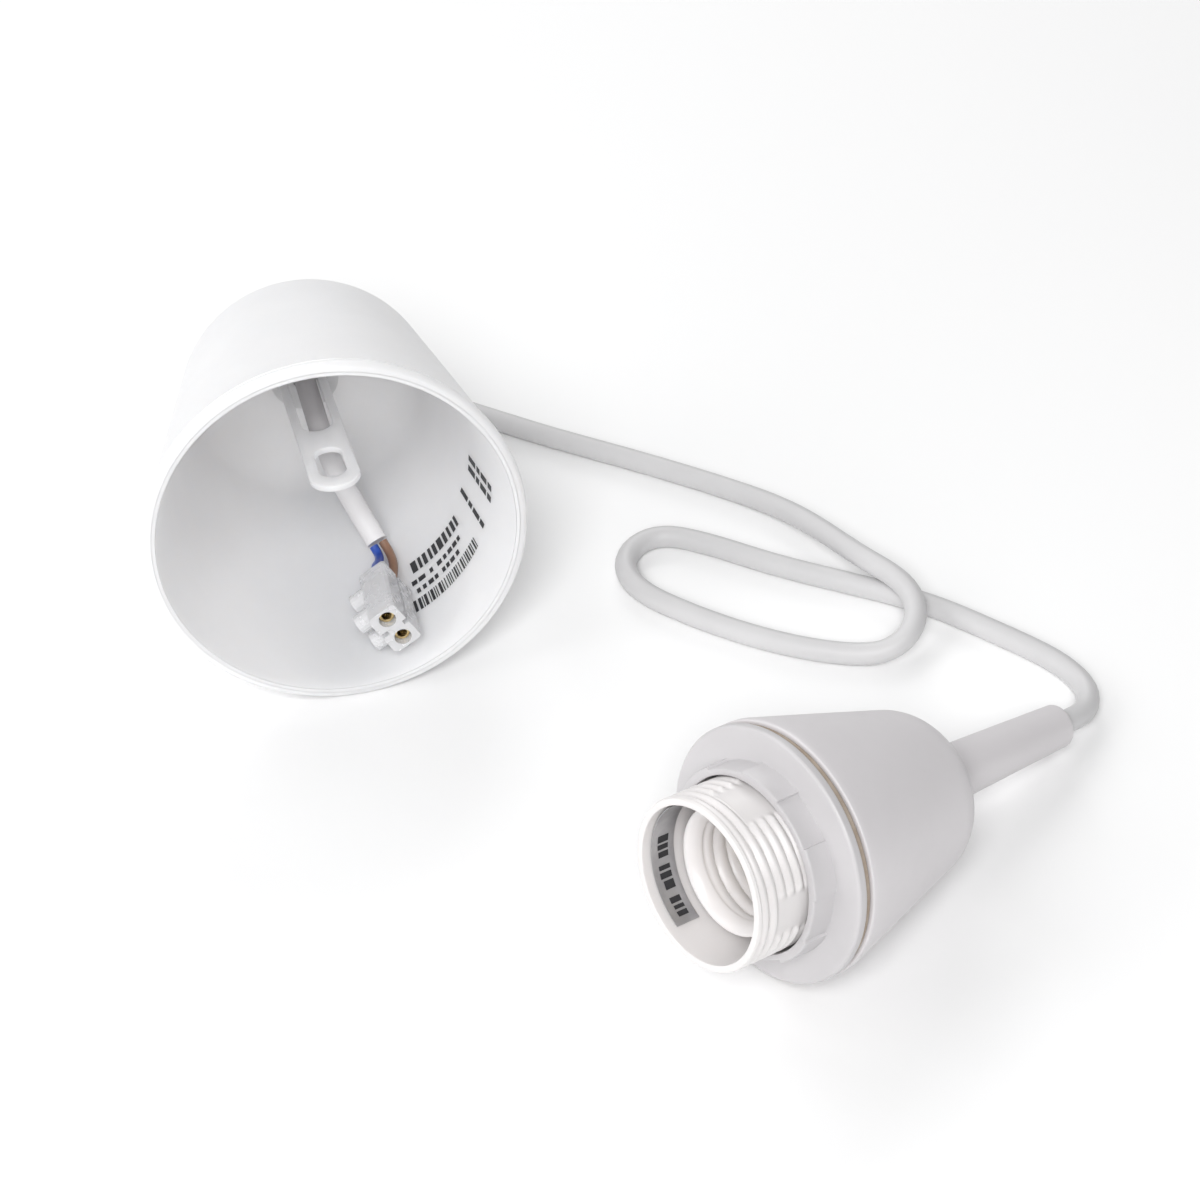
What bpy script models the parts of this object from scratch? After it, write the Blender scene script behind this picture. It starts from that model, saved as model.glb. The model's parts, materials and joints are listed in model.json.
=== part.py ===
"""Pendant lamp cord set: a ceiling cup, a white round cord and a threaded lamp holder.

The set lies on the plane z = 0. Units are metres and +Z is up. Lengths in the tables below are
millimetres and are multiplied by MM where they are used. Both ends of the set have their own
frame (an empty): local z runs along the axis of that end and local y points downwards.
  CANOPY_FRAME  z = 0 is the open rim of the cup, +z runs to its closed end
  HOLDER_FRAME  z = 0 is the front rim of the lamp skirt, +z runs to the end of the cord grip
"""
import math

import bmesh
import bpy
import numpy as np
from mathutils import Euler, Matrix, Vector

MM = 0.001
SHIFT = (2.645, 9.258, 0.0)

# Frames: position in millimetres and rotation in degrees (XYZ order).
CANOPY_AT = (-59.05, 13.56, 45.47)
CANOPY_TURN = (-100.4, 0.0, 0.0)
HOLDER_AT = (-0.06, -104.46, 34.41)
HOLDER_TURN = (-104.25, 0.0, -63.09)

# Cord.
CORD_R = 2.8
CORD_STEP = 6.0
CORD_ROUTE = [
    (-59.05, 102.57, 29.13), (-59.05, 107.5, 28.22), (-58.5, 114.0, 26.0), (-53.5, 121.0, 22.0),
    (-45.5, 123.0, 15.5), (-35.5, 119.5, 9.0), (-26.0, 112.0, 4.5), (-15.0, 102.5, 2.8),
    (4.0, 86.0, 2.8), (19.5, 73.5, 2.8), (34.5, 61.0, 2.8), (46.0, 50.5, 3.0),
    (55.0, 40.0, 4.0), (61.0, 29.5, 5.5), (66.0, 18.5, 7.0), (70.5, 8.0, 9.0),
    (75.0, -0.5, 9.2), (76.2, -9.0, 8.0), (72.5, -15.5, 6.0), (66.5, -17.5, 4.0),
    (60.0, -16.0, 3.0), (47.5, -10.0, 2.8), (33.0, 0.5, 2.8), (19.5, 13.5, 2.8),
    (13.5, 21.5, 2.8), (11.5, 29.5, 2.8), (14.5, 36.5, 2.8), (21.5, 39.5, 2.8),
    (30.0, 36.0, 2.8), (46.0, 23.0, 2.8), (65.5, 8.5, 2.8), (81.5, -4.0, 2.8),
    (94.0, -17.5, 2.8), (101.5, -26.5, 2.8), (107.0, -35.5, 2.8), (108.2, -44.0, 3.4),
    (105.2, -50.2, 4.4), (100.5, -53.4, 5.76), (97.52, -54.93, 6.62),
]

# Ceiling cup: outer wall, shoulder arc and inner cone.
CUP_WALL_SLOPE = 0.177
CUP_SHOULDER = (13.8, 69.5, 19.2)
CUP_INNER_SHOULDER = (13.8, 70.4, 15.9)
CUP_HOLE_R = 5.6
CUP_END_S = 88.7

# Terminal block inside the cup: centre, turn about its three axes, pole spacing.
BLOCK_AT = (9.5, 29.9, 13.2)
BLOCK_TURN = (0.0, 0.0, 62.0)
POLE_U = 3.2
SCREW_W = 4.6
BORE_V = -0.2

# Lamp holder.
SKIRT_PITCH = 2.5
SKIRT_CREST = 19.75
SKIRT_ROOT = 18.95
E27_PITCH = 3.63
E27_CREST = 12.35
E27_ROOT = 13.25
BELL_SLOPE = 0.254
BELL_SHOULDER = (6.3, 57.2, 14.0)

ROUND_STEPS = 48
SMALL_STEPS = 16


def clear_scene():
    for item in list(bpy.data.objects):
        bpy.data.objects.remove(item, do_unlink=True)


def look(name, colour, roughness, metallic=0.0):
    material = bpy.data.materials.new(name)
    material.use_nodes = True
    shader = material.node_tree.nodes["Principled BSDF"]
    shader.inputs["Base Color"].default_value = (colour[0], colour[1], colour[2], 1.0)
    shader.inputs["Roughness"].default_value = roughness
    shader.inputs["Metallic"].default_value = metallic
    material.diffuse_color = (colour[0], colour[1], colour[2], 1.0)
    return material


def frame(name, at, turn, parent=None):
    empty = bpy.data.objects.new(name, None)
    bpy.context.scene.collection.objects.link(empty)
    empty.empty_display_size = 0.01
    empty.location = Vector(at) * MM
    empty.rotation_euler = Euler([math.radians(v) for v in turn], "XYZ")
    empty.parent = parent
    return empty


def matrix_of(at, turn):
    rotation = Euler([math.radians(v) for v in turn], "XYZ").to_matrix().to_4x4()
    return Matrix.Translation(Vector(at)) @ rotation


def place(name, bm, parent, material, sharp=32.0, origin=(0.0, 0.0, 0.0)):
    """Turn a bmesh given in millimetres into one object whose origin sits at origin."""
    bmesh.ops.recalc_face_normals(bm, faces=bm.faces)
    for vert in bm.verts:
        vert.co = (vert.co - Vector(origin)) * MM
    mesh = bpy.data.meshes.new(name)
    bm.to_mesh(mesh)
    bm.free()
    mesh.materials.append(material)
    mesh.shade_smooth()
    mesh.set_sharp_from_angle(angle=math.radians(sharp))
    obj = bpy.data.objects.new(name, mesh)
    bpy.context.scene.collection.objects.link(obj)
    obj.parent = parent
    obj.location = Vector(origin) * MM
    return obj


def even_angles(count, start=0.0, stop=360.0):
    """count steps round a full circle, or count + 1 angles along an arc."""
    if abs(stop - start - 360.0) < 1e-6:
        return [math.radians(start + 360.0 * i / count) for i in range(count)]
    return [math.radians(start + (stop - start) * i / count) for i in range(count + 1)]


def revolve(bm, rows, angles, full=True, to=None):
    """Sweep a closed loop of (radius, s) rows about local z. A radius may be a function."""
    poles = {}
    columns = []
    for angle in angles:
        column = []
        for index, (radius, s) in enumerate(rows):
            r = radius(angle, s) if callable(radius) else radius
            if r < 1e-9:
                if index not in poles:
                    point = Vector((0.0, 0.0, s))
                    poles[index] = bm.verts.new(to @ point if to else point)
                column.append(poles[index])
            else:
                point = Vector((r * math.cos(angle), r * math.sin(angle), s))
                column.append(bm.verts.new(to @ point if to else point))
        columns.append(column)
    count = len(columns)
    for i in range(count if full else count - 1):
        here = columns[i]
        there = columns[(i + 1) % count]
        for j in range(len(rows)):
            k = (j + 1) % len(rows)
            corners = []
            for vert in (here[j], there[j], there[k], here[k]):
                if vert not in corners:
                    corners.append(vert)
            if len(corners) > 2:
                bm.faces.new(corners)
    if not full:
        bm.faces.new(columns[0])
        bm.faces.new(list(reversed(columns[-1])))


def turned(name, rows, parent, material, angles=None, full=True, sharp=32.0):
    bm = bmesh.new()
    revolve(bm, rows, angles or even_angles(ROUND_STEPS), full)
    return place(name, bm, parent, material, sharp)


def arc(centre_r, centre_s, radius, start, stop, count):
    """Points on an arc; 0 degrees points outwards and 90 degrees points along +s."""
    points = []
    for i in range(count + 1):
        angle = math.radians(start + (stop - start) * i / count)
        points.append((centre_r + radius * math.cos(angle), centre_s + radius * math.sin(angle)))
    return points


def prism(bm, outline, low, high, to=None):
    """Extrude a closed (a, b) outline between two levels of the third axis."""
    rings = []
    for level in (low, high):
        ring = []
        for a, b in outline:
            point = Vector((a, b, level))
            ring.append(bm.verts.new(to @ point if to else point))
        rings.append(ring)
    count = len(outline)
    for i in range(count):
        k = (i + 1) % count
        bm.faces.new((rings[0][i], rings[0][k], rings[1][k], rings[1][i]))
    bm.faces.new(list(reversed(rings[0])))
    bm.faces.new(rings[1])


def oblong(centre_a, centre_b, half_length, radius, count=10):
    """Outline of a slot with round ends, long in the b direction."""
    points = []
    for end in (1, -1):
        for i in range(count + 1):
            angle = math.pi * i / count + (0.0 if end > 0 else math.pi)
            points.append((centre_a + radius * math.cos(angle),
                           centre_b + end * half_length + radius * math.sin(angle)))
    return points


def combine(target, bm, name, operation):
    """Cut from or join to the target with an exact Boolean; the tool object stays hidden."""
    helper = place(name, bm, target.parent, target.data.materials[0])
    helper.hide_render = True
    helper.display_type = "WIRE"
    step = target.modifiers.new(name, "BOOLEAN")
    step.operation = operation
    step.solver = "EXACT"
    step.object = helper
    return helper


def natural_spline(points, step):
    """Evenly spaced points on the smooth curve through the given points."""
    p = np.array(points, dtype=float)
    t = np.concatenate([[0.0], np.cumsum(np.linalg.norm(np.diff(p, axis=0), axis=1))])
    h = np.diff(t)
    n = len(p)
    lhs = np.zeros((n, n))
    rhs = np.zeros((n, 3))
    lhs[0, 0] = 1.0
    lhs[n - 1, n - 1] = 1.0
    for i in range(1, n - 1):
        lhs[i, i - 1] = h[i - 1]
        lhs[i, i] = 2.0 * (h[i - 1] + h[i])
        lhs[i, i + 1] = h[i]
        rhs[i] = 6.0 * ((p[i + 1] - p[i]) / h[i] - (p[i] - p[i - 1]) / h[i - 1])
    m = np.linalg.solve(lhs, rhs)
    found = []
    for x in np.linspace(0.0, t[-1], max(2, int(math.ceil(t[-1] / step))) + 1):
        i = min(max(int(np.searchsorted(t, x)) - 1, 0), n - 2)
        a = t[i + 1] - x
        b = x - t[i]
        curve = (m[i] * a ** 3 + m[i + 1] * b ** 3) / (6.0 * h[i])
        line = (p[i] / h[i] - m[i] * h[i] / 6.0) * a + (p[i + 1] / h[i] - m[i + 1] * h[i] / 6.0) * b
        found.append(Vector([float(v) for v in curve + line]))
    return found


def tube(name, points, radius, parent, material, resolution=2):
    """Round bar along a line of points, with flat closed ends."""
    curve = bpy.data.curves.new(name, "CURVE")
    curve.dimensions = "3D"
    spline = curve.splines.new("POLY")
    spline.points.add(len(points) - 1)
    for slot, point in zip(spline.points, points):
        slot.co = (point[0] * MM, point[1] * MM, point[2] * MM, 1.0)
    curve.bevel_depth = radius * MM
    curve.bevel_resolution = resolution
    curve.use_fill_caps = True
    curve.materials.append(material)
    obj = bpy.data.objects.new(name, curve)
    bpy.context.scene.collection.objects.link(obj)
    obj.parent = parent
    return obj


def side_hole(bm, at, direction, radius, length, steps=14):
    """Cylinder of the given length starting at a point and running in a direction."""
    rotation = Vector((0.0, 0.0, 1.0)).rotation_difference(Vector(direction)).to_matrix().to_4x4()
    rows = [(0.0, 0.0), (radius, 0.0), (radius, length), (0.0, length)]
    revolve(bm, rows, even_angles(steps), True, Matrix.Translation(Vector(at)) @ rotation)


# ---------------------------------------------------------------- ceiling cup end

def make_cup(parent):
    wall_r = 44.9
    rows = [(42.6, 0.0), (43.9, 0.0), (44.9, 0.45), (45.7, 1.65), (45.7, 3.0), (45.35, 4.0),
            (wall_r, 4.5), (wall_r - CUP_WALL_SLOPE * 34.0, 38.5)]
    rows += arc(*CUP_SHOULDER, 10.0, 90.0, 7)
    rows += [(CUP_HOLE_R, CUP_END_S), (CUP_HOLE_R, 86.3)]
    rows += arc(*CUP_INNER_SHOULDER, 90.0, 10.2, 5)
    rows += [(42.6 - 0.18 * 36.0, 36.0), (42.6 - 0.18 * 0.6, 0.6)]
    return turned("canopy_cup", rows, parent, LOOKS["cup_white"], even_angles(56))


def make_bush(parent):
    rows = [(3.2, 83.8), (9.0, 83.8), (9.0, 86.0), (5.2, 86.0), (5.2, 89.8), (4.8, 90.2),
            (3.2, 90.2)]
    return turned("canopy_bush", rows, parent, LOOKS["bush_white"], even_angles(32))


def make_strap(parent):
    half = 6.3
    lean = math.radians(3.4)
    top = 83.0
    end_s = 29.3
    outline = [(-half, top), (-4.0, top), (-4.0, 56.5)]
    outline += [(4.0 * math.cos(v), 56.5 + 4.0 * math.sin(v)) for v in even_angles(8, 195.0, 345.0)]
    outline += [(4.0, 56.5), (4.0, top), (half, top)]
    outline += [(half * math.cos(v), end_s + half * math.sin(v)) for v in even_angles(14, 0.0, -180.0)]
    turn = Matrix(((math.cos(lean), -math.sin(lean), 0.0), (0.0, 0.0, 1.0),
                   (math.sin(lean), math.cos(lean), 0.0))).to_4x4()
    pivot = Matrix.Translation(Vector((-0.8, 0.0, top)))
    unpivot = Matrix.Translation(Vector((0.0, -top, 0.0)))
    to = pivot @ turn @ unpivot
    bm = bmesh.new()
    prism(bm, outline, -0.8, 0.8, to)
    strap = place("hanger_strap", bm, parent, LOOKS["strap_white"], 25.0)
    hole = bmesh.new()
    prism(hole, oblong(0.0, 35.5, 4.0, 3.5), -2.0, 2.0, to)
    combine(strap, hole, "strap_eye_tool", "DIFFERENCE")
    return strap


def make_cup_wiring(parent):
    tail = [(0.0, 0.0, 90.2), (0.0, 0.0, 84.0), (0.5, 2.0, 76.0), (1.5, 7.5, 66.0),
            (3.5, 15.0, 57.5), (6.7, 22.0, 50.0), (10.1, 29.0, 43.3)]
    tube("cord_tail", natural_spline(tail, 3.5), CORD_R, parent, LOOKS["sheath_white"], 3)
    block = matrix_of(BLOCK_AT, BLOCK_TURN)
    plan = (("blue", -1, ((9.03, 29.73, 42.6), (9.7, 31.0, 41.2), (9.6, 30.7, 36.5),
                          (8.6, 28.2, 30.5))),
            ("brown", 1, ((11.57, 29.09, 43.2), (12.3, 30.5, 41.7), (13.0, 31.7, 36.5),
                          (12.1, 32.4, 30.5))))
    for colour, side, free in plan:
        mouth = block @ Vector((side * POLE_U, BORE_V, 13.5))
        inside = block @ Vector((side * POLE_U, BORE_V, 9.2))
        path = natural_spline(list(free) + [mouth, inside], 1.6)
        tube("core_" + colour, path, 1.15, parent, LOOKS["core_" + colour], 1)
        bare = [block @ Vector((side * POLE_U, BORE_V - 0.5, w)) for w in (8.9, 5.0, 1.5)]
        tube("copper_" + colour, bare, 0.4, parent, LOOKS["copper"], 1)


def make_terminal_block(parent):
    block = matrix_of(BLOCK_AT, BLOCK_TURN)
    bm = bmesh.new()
    outline = [(-6.0, -3.3), (-5.5, -3.9), (-0.6, -3.9), (-0.6, -2.6), (0.6, -2.6), (0.6, -3.9),
               (5.5, -3.9), (6.0, -3.3), (6.0, 3.0), (5.2, 3.9), (0.6, 3.9), (0.6, 1.8),
               (-0.6, 1.8), (-0.6, 3.9), (-5.2, 3.9), (-6.0, 3.0)]
    prism(bm, outline, -10.5, 10.5, block)
    body = place("terminal_body", bm, parent, LOOKS["terminal_clear"], 25.0)
    joined = bmesh.new()
    wells = bmesh.new()
    up = (block.to_3x3() @ Vector((0.0, 1.0, 0.0)))
    for side in (-1, 1):
        for end in (-1, 1):
            foot = block @ Vector((side * POLE_U, 3.2, end * SCREW_W))
            side_hole(joined, foot, up, 2.5, 4.5, 16)
            well = block @ Vector((side * POLE_U, 0.5, end * SCREW_W))
            side_hole(wells, well, up, 1.7, 9.0, 14)
    combine(body, joined, "terminal_towers_tool", "UNION")
    combine(body, wells, "terminal_wells_tool", "DIFFERENCE")
    along = (block.to_3x3() @ Vector((0.0, 0.0, 1.0)))
    for side, label in ((-1, "1"), (1, "2")):
        bore = bmesh.new()
        side_hole(bore, block @ Vector((side * POLE_U, BORE_V, -12.0)), along, 2.15, 24.0, 20)
        combine(body, bore, "terminal_bore_tool_" + label, "DIFFERENCE")
    for side, label in ((-1, "1"), (1, "2")):
        pole = bmesh.new()
        rows = [(1.25, -8.5), (1.85, -8.5), (1.85, 8.5), (1.25, 8.5)]
        revolve(pole, rows, even_angles(18), True, block @ Matrix.Translation(
            Vector((side * POLE_U, BORE_V, 0.0))))
        part = place("terminal_tube_" + label, pole, parent, LOOKS["brass"])
        holes = bmesh.new()
        for end in (-1, 1):
            side_hole(holes, block @ Vector((side * POLE_U, BORE_V, end * SCREW_W)), up, 1.35, 4.0)
        combine(part, holes, "terminal_tube_tool_" + label, "DIFFERENCE")
    number = 0
    rotation = Vector((0.0, 0.0, 1.0)).rotation_difference(up).to_matrix().to_4x4()
    for end in (-1, 1):
        for side in (-1, 1):
            number += 1
            rows = [(0.0, 0.05), (1.1, 0.05), (1.1, 4.9), (1.4, 4.9), (1.4, 6.4), (0.5, 6.4),
                    (0.5, 6.0), (0.0, 6.0)]
            foot = block @ Vector((side * POLE_U, 0.0, end * SCREW_W))
            screw = bmesh.new()
            revolve(screw, rows, even_angles(14), True, Matrix.Translation(foot) @ rotation)
            place("terminal_screw_%d" % number, screw, parent, LOOKS["steel"], 25.0,
                  tuple(foot))


# ---------------------------------------------------------------- lamp holder end

def helix_wave(angle, s, pitch, first):
    """0 in the groove and 1 on the crest of a right-hand thread."""
    phase = (s - first) / pitch - angle / (2.0 * math.pi)
    return 0.5 - 0.5 * math.cos(2.0 * math.pi * phase)


def fade(s, low, high, length):
    return max(0.0, min(1.0, (s - low) / length, (high - s) / length))


def skirt_radius(angle, s):
    wave = helix_wave(angle, s, SKIRT_PITCH, 1.2)
    depth = (SKIRT_CREST - SKIRT_ROOT) * fade(s, 0.6, 23.0, 0.8)
    return SKIRT_CREST - 0.15 - depth + depth * wave


def socket_radius(angle, s):
    wave = helix_wave(angle, s, E27_PITCH, 10.2)
    depth = (E27_ROOT - E27_CREST) * fade(s, 9.4, 25.2, 1.2)
    return E27_CREST + 0.45 - depth * 0.5 + depth * (1.0 - wave)


def make_skirt(parent):
    rows = [(17.8, 0.4), (18.15, 0.0), (19.05, 0.0), (19.4, 0.35)]
    count = 44
    for i in range(count + 1):
        rows.append((skirt_radius, 0.7 + i * 22.4 / count))
    rows += [(18.9, 23.4), (18.9, 29.2), (17.8, 29.2)]
    return turned("skirt", rows, parent, LOOKS["skirt_white"], even_angles(40), sharp=40.0)


def make_label(parent):
    rows = [(17.3, 2.3), (17.5, 2.3), (17.5, 8.6), (17.3, 8.6)]
    angles = even_angles(14, -252.0, -145.0)
    return turned("rating_label", rows, parent, LOOKS["label_silver"], angles, False)


def make_sleeve(parent):
    rows = [(12.9, 9.0), (14.3, 9.0), (14.8, 9.5), (14.8, 26.6), (15.6, 26.6), (15.6, 27.9),
            (13.0, 27.9)]
    count = 26
    for i in range(count + 1):
        rows.append((socket_radius, 25.4 - i * 16.0 / count))
    sleeve = turned("thread_sleeve", rows, parent, LOOKS["sleeve_white"], even_angles(36),
                    sharp=40.0)
    slot = bmesh.new()
    outline = [(-2.6, -16.2), (2.6, -16.2), (2.6, -11.0), (-2.6, -11.0)]
    prism(slot, outline, 20.4, 28.6)
    combine(sleeve, slot, "sleeve_slot_tool", "DIFFERENCE")
    return sleeve


def make_carrier(parent):
    rows = [(0.0, 28.2), (15.2, 28.2), (15.5, 28.5), (15.5, 32.2), (0.0, 32.2)]
    carrier = turned("contact_carrier", rows, parent, LOOKS["carrier_white"], even_angles(32))
    holes = bmesh.new()
    for x, y, radius in ((-9.0, 0.0, 1.7), (9.0, 0.0, 1.7), (0.0, -9.5, 1.4), (0.0, 9.5, 1.4)):
        side_hole(holes, (x, y, 27.0), (0.0, 0.0, 1.0), radius, 6.5)
    combine(carrier, holes, "carrier_holes_tool", "DIFFERENCE")
    for label, x in (("1", -9.0), ("2", 9.0)):
        rows = [(0.0, 28.5), (1.4, 28.5), (1.4, 32.5), (2.6, 32.5), (2.6, 34.3), (2.3, 34.6),
                (0.0, 34.6)]
        screw = bmesh.new()
        revolve(screw, rows, even_angles(14), True, Matrix.Translation(Vector((x, 0.0, 0.0))))
        place("contact_screw_" + label, screw, parent, LOOKS["steel"], 25.0)


def strip(bm, line, thickness, low, high, to=None):
    """Bent flat strip: a line of (a, b) points given a thickness, extruded low..high."""
    left = []
    right = []
    for i, (a, b) in enumerate(line):
        before = Vector(line[max(i - 1, 0)])
        after = Vector(line[min(i + 1, len(line) - 1)])
        along = (after - before).normalized()
        side = Vector((-along.y, along.x)) * thickness * 0.5
        left.append((a + side.x, b + side.y))
        right.append((a - side.x, b - side.y))
    prism(bm, left + list(reversed(right)), low, high, to)


def make_contacts(parent):
    upright = Matrix(((1.0, 0.0, 0.0), (0.0, 0.0, -1.0), (0.0, 1.0, 0.0))).to_4x4()
    centre = bmesh.new()
    line = [(-9.5, 27.62), (-5.0, 27.62), (-4.0, 27.3), (-0.8, 24.7), (0.4, 24.2), (2.0, 24.0),
            (3.4, 24.3), (4.4, 25.0)]
    strip(centre, line, 0.5, -3.0, 3.0, upright)
    place("centre_contact", centre, parent, LOOKS["brass"], 30.0, (-5.0, 0.0, 27.62))
    sideways = Matrix(((0.0, 0.0, 1.0), (-1.0, 0.0, 0.0), (0.0, 1.0, 0.0))).to_4x4()
    side = bmesh.new()
    line = [(12.75, 27.7), (12.75, 25.4), (12.3, 24.2), (11.7, 23.2), (11.8, 22.3), (12.6, 21.2)]
    strip(side, line, 0.45, -2.0, 2.0, sideways)
    place("side_contact", side, parent, LOOKS["brass"], 30.0, (0.0, -12.75, 27.7))


def make_cap(parent):
    rows = [(15.9, 26.5), (17.15, 26.5), (17.4, 26.8), (17.4, 29.5), (18.6, 29.5), (18.4, 34.0),
            (16.0, 46.0), (12.6, 52.6), (8.4, 56.6), (5.0, 58.2), (5.0, 77.7), (4.7, 78.0),
            (3.2, 78.0), (3.2, 56.6), (7.2, 54.6), (11.0, 51.0), (14.2, 44.6), (15.9, 34.5)]
    return turned("holder_cap", rows, parent, LOOKS["cap_white"], even_angles(36))


def make_holder_wiring(parent):
    tube("holder_cord_end", [(0.0, 0.0, s) for s in (112.6, 90.0, 67.0, 45.0)], CORD_R, parent,
         LOOKS["sheath_white"], 3)
    for colour, side in (("blue", -1), ("brown", 1)):
        line = [(side * 1.45, 0.0, 44.7), (side * 2.2, 0.0, 42.4), (side * 5.6, 0.0, 40.6),
                (side * 8.4, 0.0, 38.6), (side * 9.0, 0.0, 34.9)]
        tube("holder_core_" + colour, natural_spline(line, 1.2), 1.15, parent,
             LOOKS["core_" + colour], 1)


def make_ring(parent):
    angles = []
    for index in range(12):
        base = 15.0 + 30.0 * index
        for extra in (-0.35, 0.35, 7.5, 15.0, 22.5):
            angles.append(math.radians(base + extra))

    def collar(angle, s):
        step = int(math.floor((math.degrees(angle) - 15.0) / 30.0)) % 2
        return 22.3 if step == 0 else 21.7

    def soft(angle, s):
        return collar(angle, s) - 0.45

    rows = [(20.15, 13.6), (20.5, 13.2), (soft, 13.2), (collar, 13.65), (collar, 19.2),
            (28.6, 19.2), (29.15, 19.45), (29.3, 19.8), (29.3, 21.1), (29.05, 21.4), (20.15, 21.4)]
    return turned("shade_ring", rows, parent, LOOKS["ring_white"], angles, sharp=28.0)


def make_washer(parent):
    rows = [(20.5, 21.7), (26.5, 21.7), (26.5, 22.9), (20.5, 22.9)]
    return turned("shade_washer", rows, parent, LOOKS["fibre_brown"], even_angles(40))


def make_bell(parent):
    wall = 1.65
    low = 23.2
    rows = [(27.9, low), (28.9, low), (29.3, low + 0.3), (29.4, low + 0.8),
            (29.4 - BELL_SLOPE * 19.2, low + 20.0)]
    rows += arc(*BELL_SHOULDER, 14.25, 86.0, 7)
    rows += [(7.4, 71.0), (7.4, 69.5)]
    r, s, radius = BELL_SHOULDER
    rows += arc(r, s, radius - wall, 80.0, 14.25, 6)
    rows += [(29.4 - wall - BELL_SLOPE * 19.2, low + 20.0), (27.75, low + 0.5)]
    return turned("bell_cover", rows, parent, LOOKS["bell_white"], even_angles(52))


def make_grip(parent):
    rows = [(5.3, 66.3), (6.6, 66.3), (6.9, 66.7), (6.85, 69.0), (5.25, 111.4), (4.9, 112.3),
            (4.2, 112.6), (3.2, 112.6), (3.15, 101.0), (4.5, 101.0), (4.5, 78.3), (5.3, 78.3)]
    grip = turned("grip_tube", rows, parent, LOOKS["grip_white"], even_angles(32))
    down = math.radians(85.0)
    direction = (math.cos(down), math.sin(down), 0.0)
    start = (direction[0] * 2.9, direction[1] * 2.9, 108.6)
    hole = bmesh.new()
    side_hole(hole, start, direction, 1.15, 4.0, 14)
    combine(grip, hole, "grip_screw_tool", "DIFFERENCE")
    rows = [(3.1, 79.0), (4.1, 79.0), (4.2, 79.4), (4.2, 99.6), (4.0, 100.2), (3.1, 100.2)]
    turned("grip_collet", rows, parent, LOOKS["collet_white"], even_angles(22, 8.0, 352.0), False)
    rotation = Vector((0.0, 0.0, 1.0)).rotation_difference(Vector(direction)).to_matrix().to_4x4()
    foot = Vector((0.0, 0.0, 108.6))
    rows = [(0.0, 3.15), (0.85, 3.15), (0.85, 4.95), (0.3, 4.95), (0.3, 4.6), (0.0, 4.6)]
    screw = bmesh.new()
    revolve(screw, rows, even_angles(12), True, Matrix.Translation(foot) @ rotation)
    place("grip_screw", screw, parent, LOOKS["steel"], 25.0, tuple(foot))


def make_cord():
    points = []
    for point in natural_spline(CORD_ROUTE, CORD_STEP):
        level = max(point.z, CORD_R)
        points.append(Vector((point.x + SHIFT[0], point.y + SHIFT[1], level)))
    tube("cord", points, CORD_R, None, LOOKS["cord_white"], 3)


def make_looks():
    white = {
        "cup_white": ((0.83, 0.835, 0.84), 0.42),
        "bush_white": ((0.78, 0.78, 0.78), 0.45),
        "strap_white": ((0.70, 0.70, 0.71), 0.45),
        "sheath_white": ((0.72, 0.71, 0.72), 0.50),
        "cord_white": ((0.74, 0.735, 0.74), 0.48),
        "terminal_clear": ((0.76, 0.76, 0.77), 0.30),
        "bell_white": ((0.76, 0.745, 0.75), 0.40),
        "grip_white": ((0.78, 0.765, 0.77), 0.42),
        "collet_white": ((0.74, 0.74, 0.74), 0.45),
        "cap_white": ((0.76, 0.76, 0.76), 0.40),
        "carrier_white": ((0.72, 0.72, 0.71), 0.55),
        "sleeve_white": ((0.80, 0.78, 0.78), 0.35),
        "skirt_white": ((0.82, 0.80, 0.80), 0.36),
        "ring_white": ((0.80, 0.785, 0.795), 0.38),
    }
    found = {}
    for name, (colour, roughness) in white.items():
        found[name] = look(name, colour, roughness)
    found["fibre_brown"] = look("fibre_brown", (0.24, 0.18, 0.13), 0.75)
    found["label_silver"] = look("label_silver", (0.52, 0.52, 0.54), 0.40)
    found["core_blue"] = look("core_blue", (0.05, 0.10, 0.42), 0.40)
    found["core_brown"] = look("core_brown", (0.20, 0.10, 0.05), 0.40)
    found["copper"] = look("copper", (0.72, 0.36, 0.22), 0.30, 1.0)
    found["brass"] = look("brass", (0.70, 0.56, 0.28), 0.30, 1.0)
    found["steel"] = look("steel", (0.60, 0.60, 0.61), 0.32, 1.0)
    return found


clear_scene()
LOOKS = make_looks()
CANOPY = frame("CANOPY_FRAME", [a + b for a, b in zip(CANOPY_AT, SHIFT)], CANOPY_TURN)
HOLDER = frame("HOLDER_FRAME", [a + b for a, b in zip(HOLDER_AT, SHIFT)], HOLDER_TURN)
make_cup(CANOPY)
make_bush(CANOPY)
make_strap(CANOPY)
make_cup_wiring(CANOPY)
make_terminal_block(CANOPY)
make_skirt(HOLDER)
make_label(HOLDER)
make_sleeve(HOLDER)
make_carrier(HOLDER)
make_contacts(HOLDER)
make_cap(HOLDER)
make_holder_wiring(HOLDER)
make_ring(HOLDER)
make_washer(HOLDER)
make_bell(HOLDER)
make_grip(HOLDER)
make_cord()
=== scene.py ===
"""Looks for the pendant lamp cord set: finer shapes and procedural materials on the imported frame."""
import json
import math
import random

import bmesh
import bpy
import numpy as np
from mathutils import Euler, Matrix, Vector


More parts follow.
